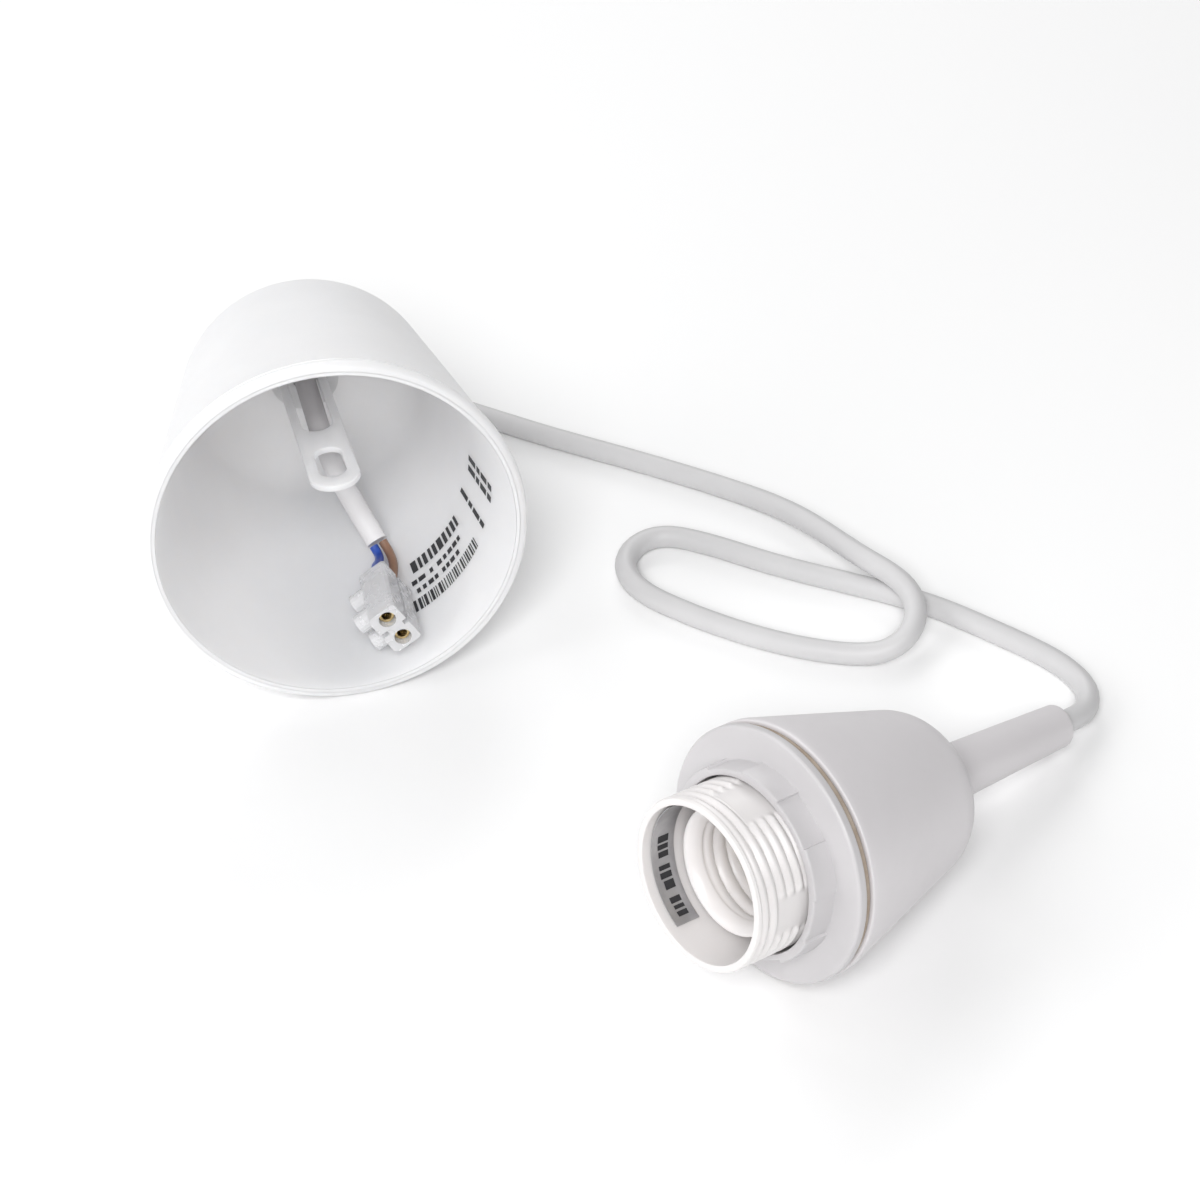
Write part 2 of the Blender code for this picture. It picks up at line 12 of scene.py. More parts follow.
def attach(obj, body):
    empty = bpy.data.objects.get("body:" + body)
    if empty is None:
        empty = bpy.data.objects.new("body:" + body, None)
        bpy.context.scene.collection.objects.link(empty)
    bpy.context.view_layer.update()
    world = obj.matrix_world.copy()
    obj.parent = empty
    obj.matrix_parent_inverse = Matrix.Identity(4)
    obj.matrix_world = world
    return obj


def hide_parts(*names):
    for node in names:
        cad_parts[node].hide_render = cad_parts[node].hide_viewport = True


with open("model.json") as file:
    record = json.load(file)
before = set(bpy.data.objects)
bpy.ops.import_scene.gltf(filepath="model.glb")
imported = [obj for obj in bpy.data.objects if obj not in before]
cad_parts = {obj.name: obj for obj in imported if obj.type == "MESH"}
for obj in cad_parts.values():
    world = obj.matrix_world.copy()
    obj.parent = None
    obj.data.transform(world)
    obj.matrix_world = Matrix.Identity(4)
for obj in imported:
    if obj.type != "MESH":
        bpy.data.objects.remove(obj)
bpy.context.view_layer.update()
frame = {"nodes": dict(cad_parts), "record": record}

MM = 0.001
SHIFT = Vector((2.645, 9.258, 0.0))
CANOPY_AT = Vector((-59.05, 13.56, 45.47))
CANOPY_TURN = (-100.4, 0.0, 0.0)
HOLDER_AT = Vector((-0.06, -104.46, 34.41))
HOLDER_TURN = (-104.25, 0.0, -63.09)
BLOCK_AT = Vector((9.5, 29.9, 13.2))
BLOCK_TURN = (0.0, 0.0, 62.0)
POLE_U = 3.2
SCREW_W = 4.6
BORE_V = -0.2
CORD_R = 2.8
CORD_ROUTE = [
    (-59.05, 102.57, 29.13), (-59.05, 107.5, 28.22), (-58.5, 114.0, 26.0), (-53.5, 121.0, 22.0),
    (-45.5, 123.0, 15.5), (-35.5, 119.5, 9.0), (-26.0, 112.0, 4.5), (-15.0, 102.5, 2.8),
    (4.0, 86.0, 2.8), (19.5, 73.5, 2.8), (34.5, 61.0, 2.8), (46.0, 50.5, 3.0),
    (55.0, 40.0, 4.0), (61.0, 29.5, 5.5), (66.0, 18.5, 7.0), (70.5, 8.0, 9.0),
    (75.0, -0.5, 9.2), (76.2, -9.0, 8.0), (72.5, -15.5, 6.0), (66.5, -17.5, 4.0),
    (60.0, -16.0, 3.0), (47.5, -10.0, 2.8), (33.0, 0.5, 2.8), (19.5, 13.5, 2.8),
    (13.5, 21.5, 2.8), (11.5, 29.5, 2.8), (14.5, 36.5, 2.8), (21.5, 39.5, 2.8),
    (30.0, 36.0, 2.8), (46.0, 23.0, 2.8), (65.5, 8.5, 2.8), (81.5, -4.0, 2.8),
    (94.0, -17.5, 2.8), (101.5, -26.5, 2.8), (107.0, -35.5, 2.8), (108.2, -44.0, 3.4),
    (105.2, -50.2, 4.4), (100.5, -53.4, 5.76), (97.52, -54.93, 6.62),
]
SKIRT_PITCH = 2.5
SKIRT_FLATS = ((-108.0, -73.0), (-21.0, 8.0), (72.0, 107.0), (159.0, 188.0))
E27_PITCH = 3.63
STRAP_HALF = 6.3
STRAP_TOP = 83.0
FORK_HALF = 4.0
FORK_FOOT = 56.5
EYE_R = 3.5
EYE_AT = 35.5
EYE_HALF = 4.0
STRAP_END = 29.3
WORLD_LIGHT = 0.24
LAMP_SIZE = 0.8

LAMPS = (
    ("key", (-0.25, -0.95, 1.1), 15.0),
    ("left", (-1.15, 0.1, 0.8), 4.0),
    ("back", (-0.6, 0.75, 1.0), 2.8),
    ("rear", (0.2, 1.1, 0.8), 5.0),
    ("low", (-1.2, -0.5, 0.3), 2.0),
)

dice = random.Random(11)


# ------------------------------------------------------------------ camera and light

def make_camera():
    data = bpy.data.cameras.new("camera")
    data.lens = 81.36
    data.sensor_width = 36.0
    data.sensor_fit = "HORIZONTAL"
    data.clip_start = 0.01
    data.clip_end = 20.0
    camera = bpy.data.objects.new("camera", data)
    bpy.context.scene.collection.objects.link(camera)
    forward = Vector((0.1004, 0.723, -0.684)).normalized()
    right = Vector((0.9764, -0.2023, -0.070))
    right = (right - forward * right.dot(forward)).normalized()
    up = right.cross(forward)
    turn = Matrix((right, up, -forward)).transposed().to_4x4()
    place = (Vector((-65.7, -472.6, 469.1)) + SHIFT) * MM
    camera.matrix_world = Matrix.Translation(place) @ turn
    bpy.context.scene.camera = camera


def area_light(name, at, aim, size, power, colour=(1.0, 1.0, 1.0)):
    data = bpy.data.lights.new(name, "AREA")
    data.shape = "DISK"
    data.size = size
    data.energy = power
    data.color = colour
    lamp = bpy.data.objects.new(name, data)
    bpy.context.scene.collection.objects.link(lamp)
    lamp.location = at
    lamp.rotation_euler = (Vector(aim) - Vector(at)).to_track_quat("-Z", "Y").to_euler()
    data.use_shadow = True


def make_studio():
    scene = bpy.context.scene
    scene.view_settings.view_transform = "Standard"
    world = bpy.data.worlds.new("studio")
    scene.world = world
    world.use_nodes = True
    background = world.node_tree.nodes["Background"]
    background.inputs["Color"].default_value = (0.99, 0.992, 1.0, 1.0)
    background.inputs["Strength"].default_value = WORLD_LIGHT
    for name, at, power in LAMPS:
        area_light(name, at, (0.0, 0.0, 0.03), LAMP_SIZE, power)
    mesh = bpy.data.meshes.new("floor")
    half = 6.0
    mesh.from_pydata([(-half, -half, 0), (half, -half, 0), (half, half, 0), (-half, half, 0)], [],
                     [(0, 1, 2, 3)])
    floor = bpy.data.objects.new("floor", mesh)
    scene.collection.objects.link(floor)
    floor.location.z = -0.00005
    paint = bpy.data.materials.new("floor")
    paint.use_nodes = True
    shader = paint.node_tree.nodes["Principled BSDF"]
    shader.inputs["Base Color"].default_value = (0.96, 0.96, 0.96, 1.0)
    shader.inputs["Roughness"].default_value = 0.9
    shader.inputs["Specular IOR Level"].default_value = 0.1
    mesh.materials.append(paint)


# ------------------------------------------------------------------ materials

def node(tree, kind, **values):
    made = tree.nodes.new(kind)
    for key, value in values.items():
        made.inputs[key.replace("_", " ")].default_value = value
    return made


def surface(name, light, dark, rough, spread=0.05, patch=45.0, grain=2600.0, depth=0.000012,
            metallic=0.0, glow=0.0, reach=0.002, coat=0.0, speck=0.0):
    """Procedural finish: slow colour drift, fine moulded grain and uneven gloss."""
    made = bpy.data.materials.new(name)
    made.use_nodes = True
    tree = made.node_tree
    shader = tree.nodes["Principled BSDF"]
    coord = tree.nodes.new("ShaderNodeTexCoord")
    drift = node(tree, "ShaderNodeTexNoise", Scale=patch, Detail=5.0, Roughness=0.6)
    ramp = tree.nodes.new("ShaderNodeValToRGB")
    ramp.color_ramp.elements[0].position = 0.30
    ramp.color_ramp.elements[0].color = (dark[0], dark[1], dark[2], 1.0)
    ramp.color_ramp.elements[1].position = 0.68
    ramp.color_ramp.elements[1].color = (light[0], light[1], light[2], 1.0)
    fine = node(tree, "ShaderNodeTexNoise", Scale=grain, Detail=3.0, Roughness=0.55)
    gloss = node(tree, "ShaderNodeTexNoise", Scale=patch * 6.0, Detail=4.0, Roughness=0.5)
    spread_map = node(tree, "ShaderNodeMapRange", From_Min=0.25, From_Max=0.75,
                      To_Min=max(0.03, rough - spread), To_Max=rough + spread)
    bump = node(tree, "ShaderNodeBump", Strength=0.6, Distance=depth)
    link = tree.links.new
    for texture in (drift, fine, gloss):
        link(coord.outputs["Object"], texture.inputs["Vector"])
    link(drift.outputs["Fac"], ramp.inputs["Fac"])
    colour = ramp.outputs["Color"]
    if speck > 0.0:
        dots = node(tree, "ShaderNodeTexVoronoi", Scale=420.0)
        link(coord.outputs["Object"], dots.inputs["Vector"])
        edge = node(tree, "ShaderNodeMapRange", From_Min=0.03, From_Max=0.07, To_Min=1.0, To_Max=0.0)
        link(dots.outputs["Distance"], edge.inputs["Value"])
        pick = node(tree, "ShaderNodeMath")
        pick.operation = "MULTIPLY"
        pick.inputs[1].default_value = speck
        link(edge.outputs["Result"], pick.inputs[0])
        mix = tree.nodes.new("ShaderNodeMixRGB")
        mix.inputs["Color2"].default_value = (dark[0] * 0.72, dark[1] * 0.70, dark[2] * 0.68, 1.0)
        link(pick.outputs["Value"], mix.inputs["Fac"])
        link(colour, mix.inputs["Color1"])
        colour = mix.outputs["Color"]
    link(colour, shader.inputs["Base Color"])
    link(gloss.outputs["Fac"], spread_map.inputs["Value"])
    link(spread_map.outputs["Result"], shader.inputs["Roughness"])
    link(fine.outputs["Fac"], bump.inputs["Height"])
    link(bump.outputs["Normal"], shader.inputs["Normal"])
    shader.inputs["Metallic"].default_value = metallic
    shader.inputs["Coat Weight"].default_value = coat
    shader.inputs["Coat Roughness"].default_value = 0.25
    if glow > 0.0:
        shader.inputs["Subsurface Weight"].default_value = glow
        shader.inputs["Subsurface Radius"].default_value = (1.0, 0.95, 0.9)
        shader.inputs["Subsurface Scale"].default_value = reach
    return made


def shaded_sheath(name):
    """White sheath that greys towards the cup's bottom, standing in for the shade there."""
    made = surface(name, (0.84, 0.83, 0.835), (0.80, 0.79, 0.80), 0.46)
    tree = made.node_tree
    shader = tree.nodes["Principled BSDF"]
    coord = tree.nodes.new("ShaderNodeTexCoord")
    axes = tree.nodes.new("ShaderNodeSeparateXYZ")
    span = node(tree, "ShaderNodeMapRange", From_Min=0.076, From_Max=0.090, To_Min=0.0, To_Max=0.8)
    mix = tree.nodes.new("ShaderNodeMixRGB")
    mix.inputs["Color2"].default_value = (0.40, 0.385, 0.39, 1.0)
    colour = shader.inputs["Base Color"].links[0].from_socket
    tree.links.new(coord.outputs["Object"], axes.inputs["Vector"])
    tree.links.new(axes.outputs["Y"], span.inputs["Value"])
    tree.links.new(span.outputs["Result"], mix.inputs["Fac"])
    tree.links.new(colour, mix.inputs["Color1"])
    tree.links.new(mix.outputs["Color"], shader.inputs["Base Color"])
    return made


def clear_plastic(name):
    """Milky see-through plastic."""
    made = surface(name, (0.93, 0.93, 0.94), (0.86, 0.86, 0.88), 0.26, depth=0.00002)
    shader = made.node_tree.nodes["Principled BSDF"]
    shader.inputs["Transmission Weight"].default_value = 0.30
    shader.inputs["IOR"].default_value = 1.38
    return made


def make_looks():
    looks = {
        "cup_white": surface("cup_white", (0.865, 0.862, 0.870), (0.84, 0.838, 0.848), 0.48,
                             glow=0.7, reach=0.008, speck=0.06),
        "bush_white": surface("bush_white", (0.76, 0.76, 0.76), (0.72, 0.72, 0.72), 0.45),
        "strap_white": surface("strap_white", (0.90, 0.895, 0.90), (0.87, 0.865, 0.87), 0.40,
                               glow=0.8, reach=0.006),
        "sheath_white": shaded_sheath("sheath_white"),
        "cord_white": surface("cord_white", (0.63, 0.625, 0.63), (0.60, 0.595, 0.60), 0.46,
                              depth=0.00003, grain=1500.0, glow=0.08, speck=0.2),
        "terminal_clear": clear_plastic("terminal_clear"),
        "bell_white": surface("bell_white", (0.725, 0.702, 0.715), (0.695, 0.672, 0.685), 0.42,
                              depth=0.00004, grain=1700.0, speck=0.25),
        "grip_white": surface("grip_white", (0.68, 0.658, 0.67), (0.65, 0.628, 0.64), 0.44,
                              depth=0.00003, grain=1700.0, speck=0.2),
        "collet_white": surface("collet_white", (0.74, 0.74, 0.74), (0.70, 0.70, 0.70), 0.45),
        "cap_white": surface("cap_white", (0.76, 0.76, 0.76), (0.72, 0.72, 0.72), 0.40),
        "carrier_white": surface("carrier_white", (0.72, 0.72, 0.70), (0.66, 0.66, 0.64), 0.60),
        "sleeve_white": surface("sleeve_white", (0.82, 0.795, 0.79), (0.79, 0.765, 0.76), 0.32,
                                glow=0.2, coat=0.15),
        "skirt_white": surface("skirt_white", (0.80, 0.775, 0.77), (0.77, 0.745, 0.74), 0.36,
                               glow=0.2, reach=0.004, coat=0.12, speck=0.12),
        "ring_white": surface("ring_white", (0.60, 0.585, 0.595), (0.57, 0.555, 0.565), 0.38,
                              glow=0.08, coat=0.10, speck=0.12),
        "fibre_brown": surface("fibre_brown", (0.46, 0.39, 0.32), (0.34, 0.27, 0.21), 0.75,
                               patch=300.0, depth=0.00008),
        "label_silver": surface("label_silver", (0.62, 0.62, 0.63), (0.45, 0.45, 0.47), 0.34,
                                patch=160.0, metallic=0.75),
        "core_blue": surface("core_blue", (0.03, 0.10, 0.46), (0.02, 0.06, 0.36), 0.35),
        "core_brown": surface("core_brown", (0.30, 0.17, 0.11), (0.24, 0.13, 0.08), 0.35),
        "copper": surface("copper", (0.85, 0.45, 0.30), (0.66, 0.32, 0.20), 0.28, metallic=1.0),
        "brass": surface("brass", (0.78, 0.62, 0.32), (0.66, 0.50, 0.25), 0.28, patch=200.0,
                         metallic=1.0),
        "steel": surface("steel", (0.66, 0.66, 0.67), (0.52, 0.52, 0.54), 0.30, patch=300.0,
                         metallic=1.0),
        "ink": surface("ink", (0.035, 0.035, 0.04), (0.02, 0.02, 0.022), 0.5),
    }
    return looks


# ------------------------------------------------------------------ shape helpers

def matrix_at(at, turn):
    rotation = Euler([math.radians(v) for v in turn], "XYZ").to_matrix().to_4x4()
    return Matrix.Translation(at) @ rotation


def to_metres(matrix):
    made = matrix.copy()
    made.translation = made.translation * MM
    return made


CANOPY = to_metres(matrix_at(CANOPY_AT + SHIFT, CANOPY_TURN))
HOLDER = to_metres(matrix_at(HOLDER_AT + SHIFT, HOLDER_TURN))
BLOCK = matrix_at(BLOCK_AT, BLOCK_TURN)


def piece(name, bm, matrix, body, look, cad=(), sharp=32.0):
    """One visible piece from a bmesh in millimetres, riding on a CAD body."""
    bmesh.ops.recalc_face_normals(bm, faces=bm.faces)
    for vert in bm.verts:
        vert.co = matrix @ (vert.co * MM)
    mesh = bpy.data.meshes.new(name)
    bm.to_mesh(mesh)
    bm.free()
    mesh.materials.append(LOOKS[look])
    mesh.shade_smooth()
    mesh.set_sharp_from_angle(angle=math.radians(sharp))
    obj = bpy.data.objects.new(name, mesh)
    bpy.context.scene.collection.objects.link(obj)
    if body:
        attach(obj, body)
    for name_cad in cad:
        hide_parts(name_cad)
    return obj


def revolve(bm, rows, steps, to=None, start=0.0, stop=360.0, angles=None):
    """Sweep a closed loop of (radius, s) rows about z. A radius may be a function of angle and s."""
    full = abs(stop - start - 360.0) < 1e-6
    if angles is None:
        count = steps if full else steps + 1
        angles = [math.radians(start + (stop - start) * i / steps) for i in range(count)]
    poles = {}
    columns = []
    for angle in angles:
        column = []
        for index, (radius, s) in enumerate(rows):
            r = radius(angle, s) if callable(radius) else radius
            point = Vector((r * math.cos(angle), r * math.sin(angle), s))
            point = to @ point if to else point
            if r < 1e-9:
                if index not in poles:
                    poles[index] = bm.verts.new(point)
                column.append(poles[index])
            else:
                column.append(bm.verts.new(point))
        columns.append(column)
    count = len(columns)
    for i in range(count if full else count - 1):
        here = columns[i]
        there = columns[(i + 1) % count]
        for j in range(len(rows)):
            k = (j + 1) % len(rows)
            corners = []
            for vert in (here[j], there[j], there[k], here[k]):
                if vert not in corners:
                    corners.append(vert)
            if len(corners) > 2:
                bm.faces.new(corners)
    if not full:
        bm.faces.new(columns[0])
        bm.faces.new(list(reversed(columns[-1])))


def arc(centre_r, centre_s, radius, start, stop, count):
    points = []
    for i in range(count + 1):
        angle = math.radians(start + (stop - start) * i / count)
        points.append((centre_r + radius * math.cos(angle), centre_s + radius * math.sin(angle)))
    return points


def rounded(rows, fillet, count=4):
    """Round each corner of a closed loop of plain (r, s) rows that is marked with a third value."""
    made = []
    total = len(rows)
    for i, row in enumerate(rows):
        if len(row) < 3 or callable(row[0]):
            made.append(row[:2])
            continue
        here = Vector(row[:2])
        before = Vector(rows[i - 1][:2])
        after = Vector(rows[(i + 1) % total][:2])
        size = row[2] * fillet
        size = min(size, (before - here).length * 0.45, (after - here).length * 0.45)
        a = here + (before - here).normalized() * size
        b = here + (after - here).normalized() * size
        for step in range(count + 1):
            t = step / count
            point = a * (1 - t) ** 2 + here * 2 * t * (1 - t) + b * t ** 2
            made.append((point.x, point.y))
    return made


def prism(bm, outline, low, high, to=None):
    rings = []
    for level in (low, high):
        ring = []
        for a, b in outline:
            point = Vector((a, b, level))
            ring.append(bm.verts.new(to @ point if to else point))
        rings.append(ring)
    count = len(outline)
    for i in range(count):
        k = (i + 1) % count
        bm.faces.new((rings[0][i], rings[0][k], rings[1][k], rings[1][i]))
    bm.faces.new(list(reversed(rings[0])))
    bm.faces.new(rings[1])


def bar(bm, at, direction, radius, length, steps=28):
    rotation = Vector((0.0, 0.0, 1.0)).rotation_difference(Vector(direction)).to_matrix().to_4x4()
    rows = [(0.0, 0.0), (radius, 0.0), (radius, length), (0.0, length)]
    revolve(bm, rows, steps, Matrix.Translation(Vector(at)) @ rotation)


def settle(obj):
    """Apply all modifiers and keep the result as a plain mesh."""
    graph = bpy.context.evaluated_depsgraph_get()
    made = bpy.data.meshes.new_from_object(obj.evaluated_get(graph))
    obj.modifiers.clear()
    obj.data = made
    return obj


def combine(target, bm, matrix, operation):
    helper = piece("helper", bm, matrix, None, "steel")
    step = target.modifiers.new("combine", "BOOLEAN")
    step.operation = operation
    step.solver = "EXACT"
    step.object = helper
    settle(target)
    bpy.data.objects.remove(helper, do_unlink=True)


def soften(obj, width, segments=2, limit=40.0):
    bevel = obj.modifiers.new("soften", "BEVEL")
    bevel.width = width * MM
    bevel.segments = segments
    bevel.limit_method = "ANGLE"
    bevel.angle_limit = math.radians(limit)
    bevel.harden_normals = False
    settle(obj)
    obj.data.shade_smooth()
    obj.data.set_sharp_from_angle(angle=math.radians(50.0))


def natural_spline(points, step):
    """Evenly spaced points on the smooth curve through the given points."""
    p = np.array(points, dtype=float)
    t = np.concatenate([[0.0], np.cumsum(np.linalg.norm(np.diff(p, axis=0), axis=1))])
    h = np.diff(t)
    n = len(p)
    lhs = np.zeros((n, n))
    rhs = np.zeros((n, 3))
    lhs[0, 0] = 1.0
    lhs[n - 1, n - 1] = 1.0
    for i in range(1, n - 1):
        lhs[i, i - 1] = h[i - 1]
        lhs[i, i] = 2.0 * (h[i - 1] + h[i])
        lhs[i, i + 1] = h[i]
        rhs[i] = 6.0 * ((p[i + 1] - p[i]) / h[i] - (p[i] - p[i - 1]) / h[i - 1])
    m = np.linalg.solve(lhs, rhs)
    found = []
    for x in np.linspace(0.0, t[-1], max(2, int(math.ceil(t[-1] / step))) + 1):
        i = min(max(int(np.searchsorted(t, x)) - 1, 0), n - 2)
        a = t[i + 1] - x
        b = x - t[i]
        curve = (m[i] * a ** 3 + m[i + 1] * b ** 3) / (6.0 * h[i])
        line = (p[i] / h[i] - m[i] * h[i] / 6.0) * a + (p[i + 1] / h[i] - m[i + 1] * h[i] / 6.0) * b
        found.append(Vector([float(v) for v in curve + line]))
    return found


def tube(name, points, radius, matrix, body, look, cad=(), resolution=8):
    """Round sheath as a curve of one open spline, points in millimetres in the given frame."""
    curve = bpy.data.curves.new(name, "CURVE")
    curve.dimensions = "3D"
    spline = curve.splines.new("POLY")
    spline.points.add(len(points) - 1)
    for place, point in zip(spline.points, points):
        place.co = (matrix @ (Vector(point) * MM)).to_4d()
    spline.use_smooth = True
    curve.bevel_depth = radius * MM
    curve.bevel_resolution = resolution
    curve.use_fill_caps = True
    curve.materials.append(LOOKS[look])
    obj = bpy.data.objects.new(name, curve)
    bpy.context.scene.collection.objects.link(obj)
    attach(obj, body)
    for name_cad in cad:
        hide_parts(name_cad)
    return obj


# ------------------------------------------------------------------ cord

def make_cord():
    points = []
    for point in natural_spline(CORD_ROUTE, 2.0):
        points.append(Vector((point.x, point.y, max(point.z, CORD_R))) + Vector(SHIFT))
    obj = tube("cord_sheath", points, CORD_R, Matrix.Identity(4), "cord_set", "cord_white",
               ("cord",), 10)


# ------------------------------------------------------------------ ceiling cup

def make_cup():
    inner = [(r, s) for r, s in arc(13.8, 70.4, 15.9, 90.0, 10.2, 16)]
    rows = rounded([(42.6, 0.0, 1), (43.9, 0.0, 1)], 0.25) + arc(43.75, 1.95, 1.95, -62.0, 62.0, 12)
    rows += [(45.25, 4.0), (44.98, 4.4), (44.84, 4.9), (44.9 - 0.177 * 34.0, 38.5)]
    rows += arc(13.8, 69.5, 19.2, 10.0, 90.0, 22)
    rows += rounded([(5.6, 88.7, 1), (5.6, 86.3, 1)], 0.3)
    rows += inner
    rows += [(42.6 - 0.18 * 36.0, 36.0), (42.6 - 0.18 * 1.0, 1.0)]
    bm = bmesh.new()
    revolve(bm, rows, 160)
    piece("cup_shell", bm, CANOPY, "canopy", "cup_white", ("canopy_cup",))


def wall_patch(bm, angle_a, angle_b, low, high, lift=0.05, thick=0.03):
    """Thin printed mark on the cup's inner wall between two angles (degrees) and two depths."""
    steps = max(1, int(abs(angle_b - angle_a) / 2.0))
    rings = []
    for depth in (lift, lift + thick):
        ring = []
        for s in (low, high):
            line = []
            for i in range(steps + 1):
                angle = math.radians(angle_a + (angle_b - angle_a) * i / steps)
                r = 42.6 - 0.18 * s - depth
                line.append(bm.verts.new((r * math.cos(angle), r * math.sin(angle), s)))
            ring.append(line)
        rings.append(ring)
    outer, inner = rings
    for i in range(steps):
        bm.faces.new((outer[0][i], outer[0][i + 1], outer[1][i + 1], outer[1][i]))
        bm.faces.new((inner[0][i], inner[1][i], inner[1][i + 1], inner[0][i + 1]))
        bm.faces.new((outer[0][i], inner[0][i], inner[0][i + 1], outer[0][i + 1]))
        bm.faces.new((outer[1][i], outer[1][i + 1], inner[1][i + 1], inner[1][i]))
    bm.faces.new((outer[0][0], outer[1][0], inner[1][0], inner[0][0]))
    bm.faces.new((outer[0][-1], inner[0][-1], inner[1][-1], outer[1][-1]))


def print_row(bm, first, last, low, high, widths, gaps):
    """Row of plain blocks of uneven width between two angles."""
    angle = first
    while angle > last:
        width = min(dice.choice(widths), angle - last)
        if width > 0.3:
            wall_patch(bm, angle, angle - width, low, high)
        angle -= width + dice.choice(gaps)


def make_cup_print():
    """Plain bars and blocks where the maker's print would be: nothing in it can be read."""
    bm = bmesh.new()
    print_row(bm, 66.0, 31.0, 17.6, 21.6, (0.45, 0.45, 0.8, 1.2), (0.5, 0.5, 0.9))
    print_row(bm, 63.0, 40.0, 23.3, 24.9, (1.6, 2.4, 3.2), (0.8, 1.2, 2.4))
    print_row(bm, 64.0, 36.0, 26.6, 28.2, (1.6, 2.4, 3.2), (0.8, 1.2, 2.4))
    print_row(bm, 62.0, 33.0, 30.6, 34.6, (1.4, 1.8, 2.6), (1.0, 1.3))
    for low, high in ((18.6, 21.4), (22.2, 26.8), (27.8, 30.2), (31.2, 36.4)):
        wall_patch(bm, 24.5, 22.6, low, high)
    for low, high in ((17.6, 20.2), (21.2, 25.4), (26.4, 28.6), (29.6, 34.6)):
        wall_patch(bm, 13.0, 10.6, low, high)
        wall_patch(bm, 8.6, 6.2, low, high)
    piece("cup_print", bm, CANOPY, "canopy", "ink")


def strap_matrix():
    lean = math.radians(3.4)
    turn = Matrix(((math.cos(lean), -math.sin(lean), 0.0), (0.0, 0.0, 1.0),
                   (math.sin(lean), math.cos(lean), 0.0))).to_4x4()
    return (Matrix.Translation(Vector((-0.8, 0.0, 83.0))) @ turn
            @ Matrix.Translation(Vector((0.0, -83.0, 0.0))))


# the hanger strap: a fork above, an eye for the hook below
def make_strap():
    to = strap_matrix()
    outline = [(-STRAP_HALF, STRAP_TOP), (-FORK_HALF, STRAP_TOP), (-FORK_HALF, FORK_FOOT)]
    for i in range(1, 24):
        angle = math.radians(180.0 + 180.0 * i / 24)
        outline.append((FORK_HALF * math.cos(angle), FORK_FOOT + FORK_HALF * math.sin(angle)))
    outline += [(FORK_HALF, FORK_FOOT), (FORK_HALF, STRAP_TOP), (STRAP_HALF, STRAP_TOP)]
    for i in range(33):
        angle = math.radians(-180.0 * i / 32)
        outline.append((STRAP_HALF * math.cos(angle),
                        STRAP_END + STRAP_HALF * math.sin(angle)))
    bm = bmesh.new()
    prism(bm, outline, -0.8, 0.8, to)
    strap = piece("strap", bm, CANOPY, "cord_set", "strap_white", ("hanger_strap",), 25.0)
    hole = bmesh.new()
    eye = []
    for end in (1, -1):
        for i in range(19):
            angle = math.pi * i / 18 + (0.0 if end > 0 else math.pi)
            eye.append((EYE_R * math.cos(angle),
                        EYE_AT + end * EYE_HALF + EYE_R * math.sin(angle)))
    prism(hole, eye, -3.0, 3.0, to)
    combine(strap, hole, CANOPY, "DIFFERENCE")
    soften(strap, 0.22, 3)


def make_tail():
    line = [(0.0, 0.0, 90.2), (0.0, 0.0, 84.0), (0.5, 2.0, 76.0), (1.5, 7.5, 66.0),
            (3.5, 15.0, 57.5), (6.7, 22.0, 50.0), (10.1, 29.0, 43.3)]
    tube("tail_sheath", natural_spline(line, 1.2), CORD_R, CANOPY, "cord_set", "sheath_white",
         ("cord_tail",), 8)
    plan = (("blue", -1, ((9.03, 29.73, 42.6), (9.7, 31.0, 41.2), (9.6, 30.7, 36.5),
                          (8.6, 28.2, 30.5))),
            ("brown", 1, ((11.57, 29.09, 43.2), (12.3, 30.5, 41.7), (13.0, 31.7, 36.5),
                          (12.1, 32.4, 30.5))))
    for colour, side, free in plan:
        mouth = BLOCK @ Vector((side * POLE_U, BORE_V, 13.5))
        inside = BLOCK @ Vector((side * POLE_U, BORE_V, 9.2))
        path = natural_spline(list(free) + [mouth, inside], 0.6)
        tube("wire_" + colour, path, 1.15, CANOPY, "cord_set", "core_" + colour,
             ("core_" + colour,), 5)


def make_clamp_heads():
    """Slotted clamp screws in the terminal block, whose body is the CAD node itself."""
    up = BLOCK.to_3x3() @ Vector((0.0, 1.0, 0.0))
    rotation = Vector((0.0, 0.0, 1.0)).rotation_difference(up).to_matrix().to_4x4()
    number = 0
    for end in (-1, 1):
        for side in (-1, 1):
            number += 1
            foot = Matrix.Translation(BLOCK @ Vector((side * POLE_U, 0.0, end * SCREW_W)))
            rows = rounded([(0.0, 0.05), (1.1, 0.05, 1), (1.1, 4.9), (1.4, 4.9, 1), (1.4, 6.4, 1),
                            (0.0, 6.4)], 0.2)
            screw = bmesh.new()
            revolve(screw, rows, 32, foot @ rotation)
            head = piece("clamp_head_%d" % number, screw, CANOPY, "clamp_screw_%d" % number,
                         "steel", ("terminal_screw_%d" % number,), 25.0)
            slot = bmesh.new()
            turn = foot @ rotation @ Matrix.Rotation(math.radians(35.0 * number), 4, "Z")
            prism(slot, [(-0.22, -3.0), (0.22, -3.0), (0.22, 3.0), (-0.22, 3.0)], 5.8, 7.5, turn)
            combine(head, slot, CANOPY, "DIFFERENCE")


# ------------------------------------------------------------------ lamp holder

def fade(s, low, high, length):
    return max(0.0, min(1.0, (s - low) / length, (high - s) / length))


def wave(angle, s, pitch, first, width):
    """0 in the groove, 1 on the crest; a larger width gives broader crests."""
    phase = (s - first) / pitch - angle / (2.0 * math.pi)
    return (0.5 - 0.5 * math.cos(2.0 * math.pi * phase)) ** width


